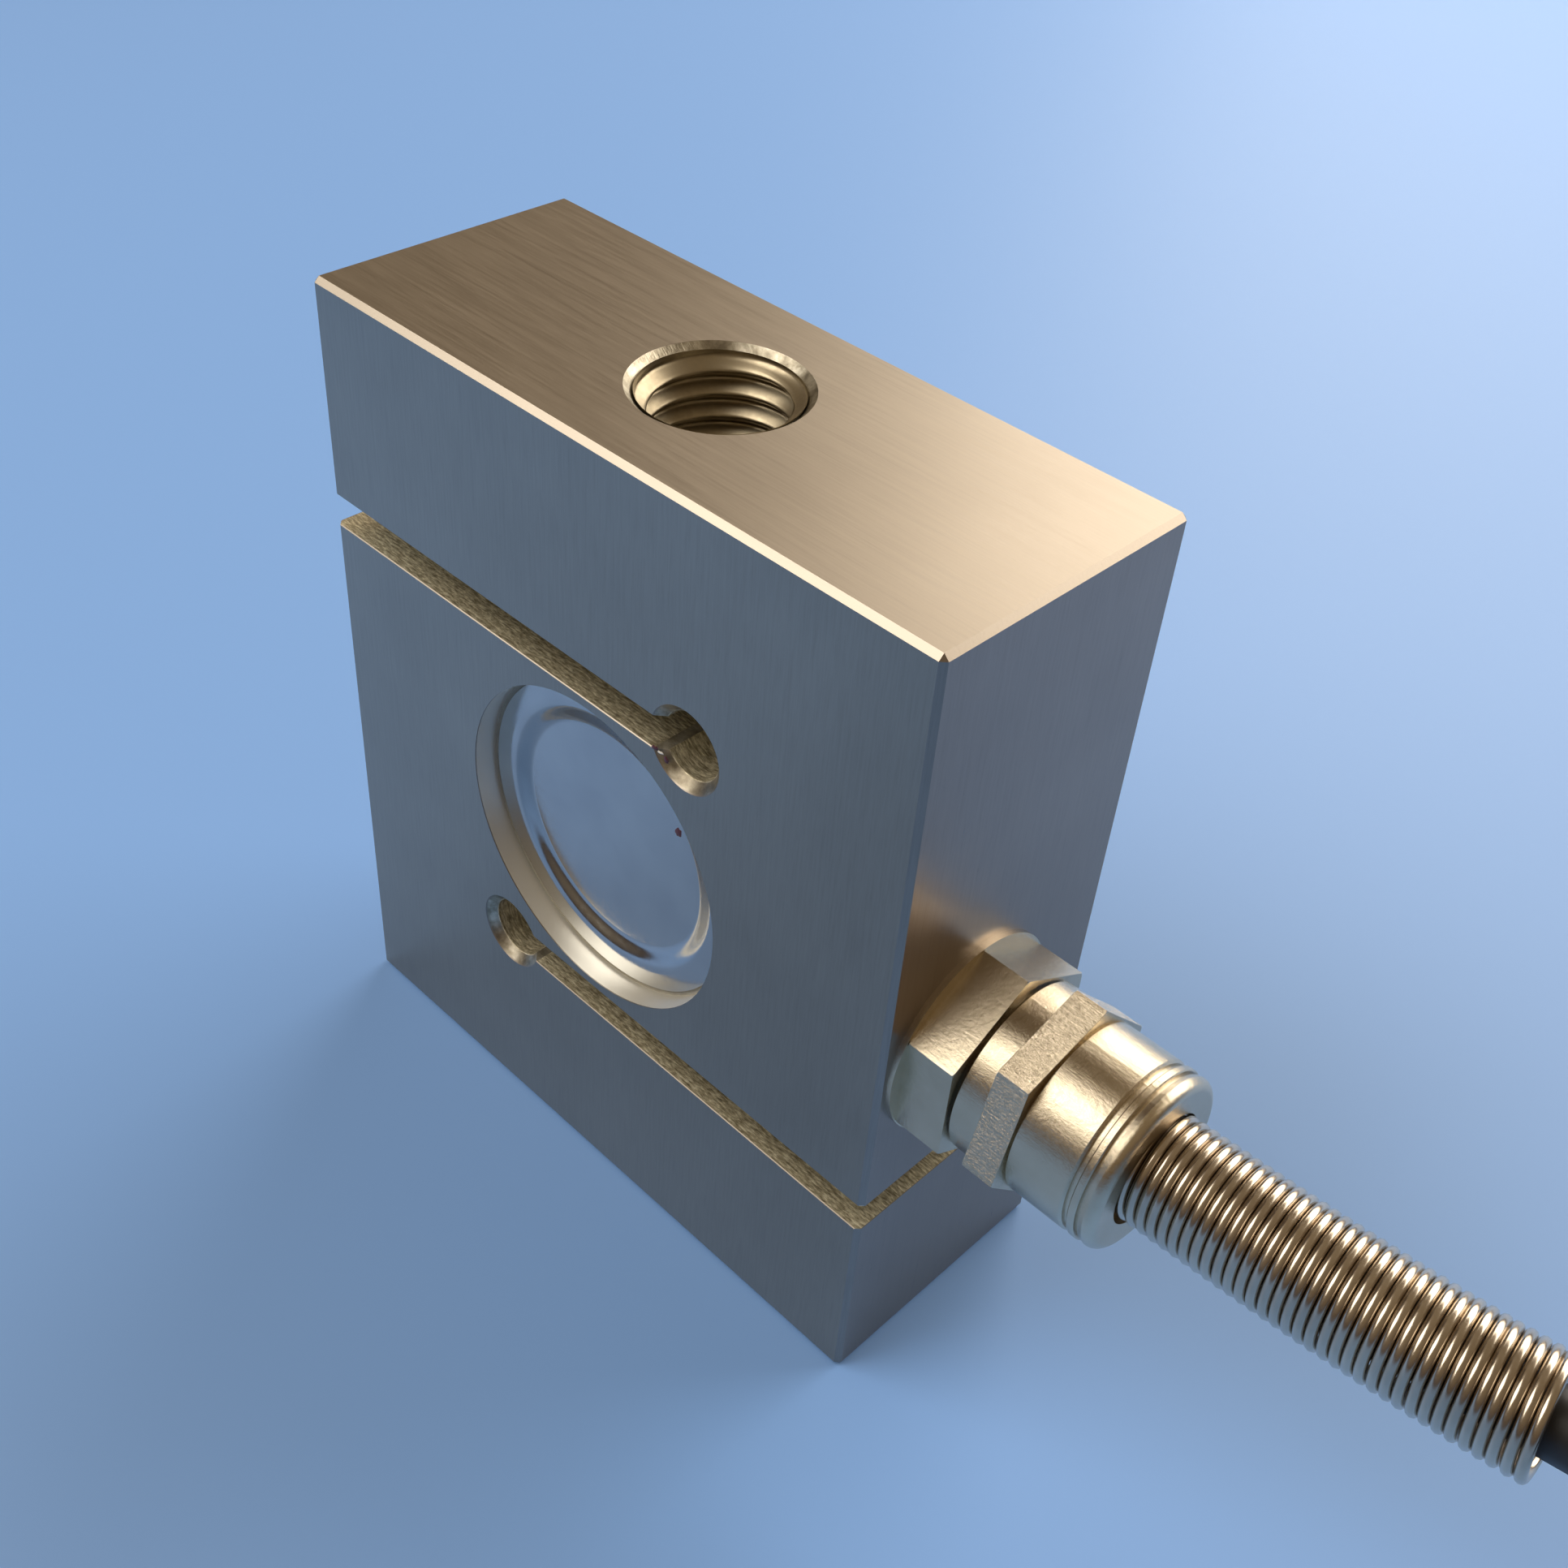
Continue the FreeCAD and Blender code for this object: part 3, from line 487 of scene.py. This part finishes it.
def make_spring(start=11.26, length=25.2, outer=3.56, wire=0.685, pitch=0.70):
    """Close right-handed coils round the cable's own line; start and length are measured along it."""
    per_turn, sides = 40, 10
    steps = round(per_turn * (length - wire) / pitch)
    points, faces = [], []
    cable_part = [p / MM for p in cable_line[:200]]
    thick = wire / 2
    reach = outer - thick
    side = Vector((0, -1, 1)).normalized()
    for step in range(steps + 1):
        centre, ahead = along(cable_part, start + pitch * step / per_turn)
        across = ahead.cross(side).normalized()
        up = across.cross(ahead).normalized()
        turn = -TAU * (step / per_turn + 0.25)
        outward = across * math.cos(turn) + up * math.sin(turn)
        for corner in range(sides):
            angle = TAU * corner / sides
            spoke = outward * (reach + thick * math.cos(angle)) + ahead * (thick * math.sin(angle))
            points.append((centre + spoke) * MM)
    for step in range(steps):
        for corner in range(sides):
            a = step * sides + corner
            b = step * sides + (corner + 1) % sides
            faces.append((b, a, a + sides, b + sides))
    faces.append(tuple(range(sides)))
    faces.append(tuple(reversed(range(steps * sides, (steps + 1) * sides))))
    return mesh_piece("spring", points, faces)


spring = make_spring()
dress(spring, LOOKS["spring_wire"])
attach(spring, "root")
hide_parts("relief_spring")


# ---- small marks --------------------------------------------------------------------------

def make_fleck(name, place, width, height, lift, lean, material):
    """Irregular fleck on a face that looks to the front, used for dark crumbs and for a painted glint;
    place is its middle on that face.
    """
    around, seed = 16, sum(ord(letter) for letter in name)
    points = [Vector((0, -lift, 0))]
    for share, depth in ((0.6, -lift * 0.75), (1.0, 0.02)):
        for k in range(around):
            angle = TAU * k / around
            wobble = 1 + 0.22 * math.sin(2 * angle + seed) + 0.14 * math.sin(5 * angle + 2 * seed)
            across = width / 2 * share * wobble * math.cos(angle) + lean * share * math.sin(angle)
            up = height / 2 * share * wobble * math.sin(angle)
            points.append(Vector((across, depth, up)))
    faces = [(0, 1 + k, 1 + (k + 1) % around) for k in range(around)]
    for k in range(around):
        a, b = 1 + k, 1 + (k + 1) % around
        faces.append((a, a + around, b + around, b))
    middle = Vector(place)
    piece = mesh_piece(name, [(p + middle) * MM for p in points], faces)
    dress(piece, material)
    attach(piece, "root")


dark_crumb = plain_plastic("dark_crumb", (0.10, 0.022, 0.022), 0.35)
# Pale colour for a painted highlight, the glint by the upper hole.
painted_glint = plain_plastic("painted_glint", (0.85, 0.80, 0.72), 0.4)
make_fleck("crumb_on_cover", (6.0, -7.85, 34.15), 0.56, 0.95, 0.06, 0.12, dark_crumb)
make_fleck("crumb_by_slot", (5.95, FRONT, 42.0), 0.45, 0.42, 0.05, 0.1, dark_crumb)
make_fleck("crumb_by_hole", (6.95, FRONT, 41.7), 0.40, 0.50, 0.05, -0.1, dark_crumb)
# Painted highlight: a pale fleck standing for the glint on the chipped edge by the upper hole.
make_fleck("crumb_pale", (6.45, FRONT, 41.95), 0.42, 0.22, 0.06, 0.05, painted_glint)


# ---- load threads -------------------------------------------------------------------------

def make_thread(name, mouth, inward, depth=14.1, lead_in=0.55):
    """Helical M10 ridges on the wall of a threaded hole, fading in at its mouth."""
    pitch, major, minor = 1.5, 4.985, 4.19
    around, rows_per_turn = 96, 14
    rows = round(depth / pitch * rows_per_turn)
    points, faces = [], []
    for row in range(rows + 1):
        down = lead_in - 0.25 + depth * row / rows
        for k in range(around):
            turn = k / around
            phase = (down / pitch - turn) % 1.0
            ridge = min(max((0.5 - abs(phase - 0.5)) * 2.4 - 0.08, 0.0), 1.0)
            ridge *= min(max((down - lead_in + 0.1) / 0.5, 0.0), 1.0)
            radius = major - (major - minor) * ridge
            angle = TAU * turn
            points.append(Vector((radius * math.cos(angle), radius * math.sin(angle),
                                  mouth + inward * down)) * MM)
    for row in range(rows):
        for k in range(around):
            a, b = row * around + k, row * around + (k + 1) % around
            face = (a, b, b + around, a + around)
            faces.append(face if inward < 0 else tuple(reversed(face)))
    piece = mesh_piece(name, points, faces)
    dress(piece, thread_steel)
    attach(piece, "root")


thread_steel = plain_metal("thread_steel", (0.38, 0.32, 0.22), 0.32)
make_thread("thread_top", BODY_HEIGHT, -1)
make_thread("thread_bottom", 0.0, 1)


# ---- stage --------------------------------------------------------------------------------

def make_floor():
    half = 3.0
    corners = [(-half, -half, 0), (half, -half, 0), (half, half, 0), (-half, half, 0)]
    floor = mesh_piece("floor", corners, [(0, 1, 2, 3)], smooth=False)
    sh = Shader("floor")
    sh.set(Base_Color=(0.22, 0.42, 0.84, 1), Roughness=0.5)
    dress(floor, sh.material)


def soft_box(name, azimuth, elevation, away, width, height, radiance, colour):
    """Rectangular lamp at an angle from the object's middle, in metres; radiance is its brightness."""
    data = bpy.data.lights.new(name, "AREA")
    data.shape = "RECTANGLE"
    data.size = width
    data.size_y = height
    data.energy = radiance * math.pi * width * height
    data.color = colour
    lamp = link(name, data)
    a, e = math.radians(azimuth), math.radians(elevation)
    out = Vector((math.cos(e) * math.cos(a), math.cos(e) * math.sin(a), math.sin(e)))
    lamp.location = Vector((0.0, 0.0, 0.03)) + out * away
    lamp.rotation_euler = (-out).to_track_quat("-Z", "Y").to_euler()


def make_world():
    """Brown surroundings, darker near the horizon."""
    world = bpy.data.worlds.new("world")
    world.use_nodes = True
    tree = world.node_tree
    background = tree.nodes["Background"]
    source = tree.nodes.new("ShaderNodeTexCoord")
    apart = tree.nodes.new("ShaderNodeSeparateXYZ")
    ramp = tree.nodes.new("ShaderNodeValToRGB")
    tree.links.new(source.outputs["Generated"], apart.inputs["Vector"])
    tree.links.new(apart.outputs["Z"], ramp.inputs["Fac"])
    tree.links.new(ramp.outputs["Color"], background.inputs["Color"])
    low, high = ramp.color_ramp.elements
    low.position, low.color = 0.05, (0.10, 0.075, 0.058, 1)
    high.position, high.color = 0.55, (0.27, 0.205, 0.13, 1)
    background.inputs["Strength"].default_value = 1.0
    bpy.context.scene.world = world


def make_light():
    soft_box("window", 86, 29, 0.7, 0.95, 0.46, 4.2, (1.0, 0.93, 0.83))
    soft_box("front_window", -131, 48, 0.7, 0.50, 0.46, 4.2, (1.0, 0.95, 0.87))
    make_world()
    bpy.context.scene.view_settings.view_transform = "Standard"


make_floor()
make_light()

bpy.context.view_layer.update()
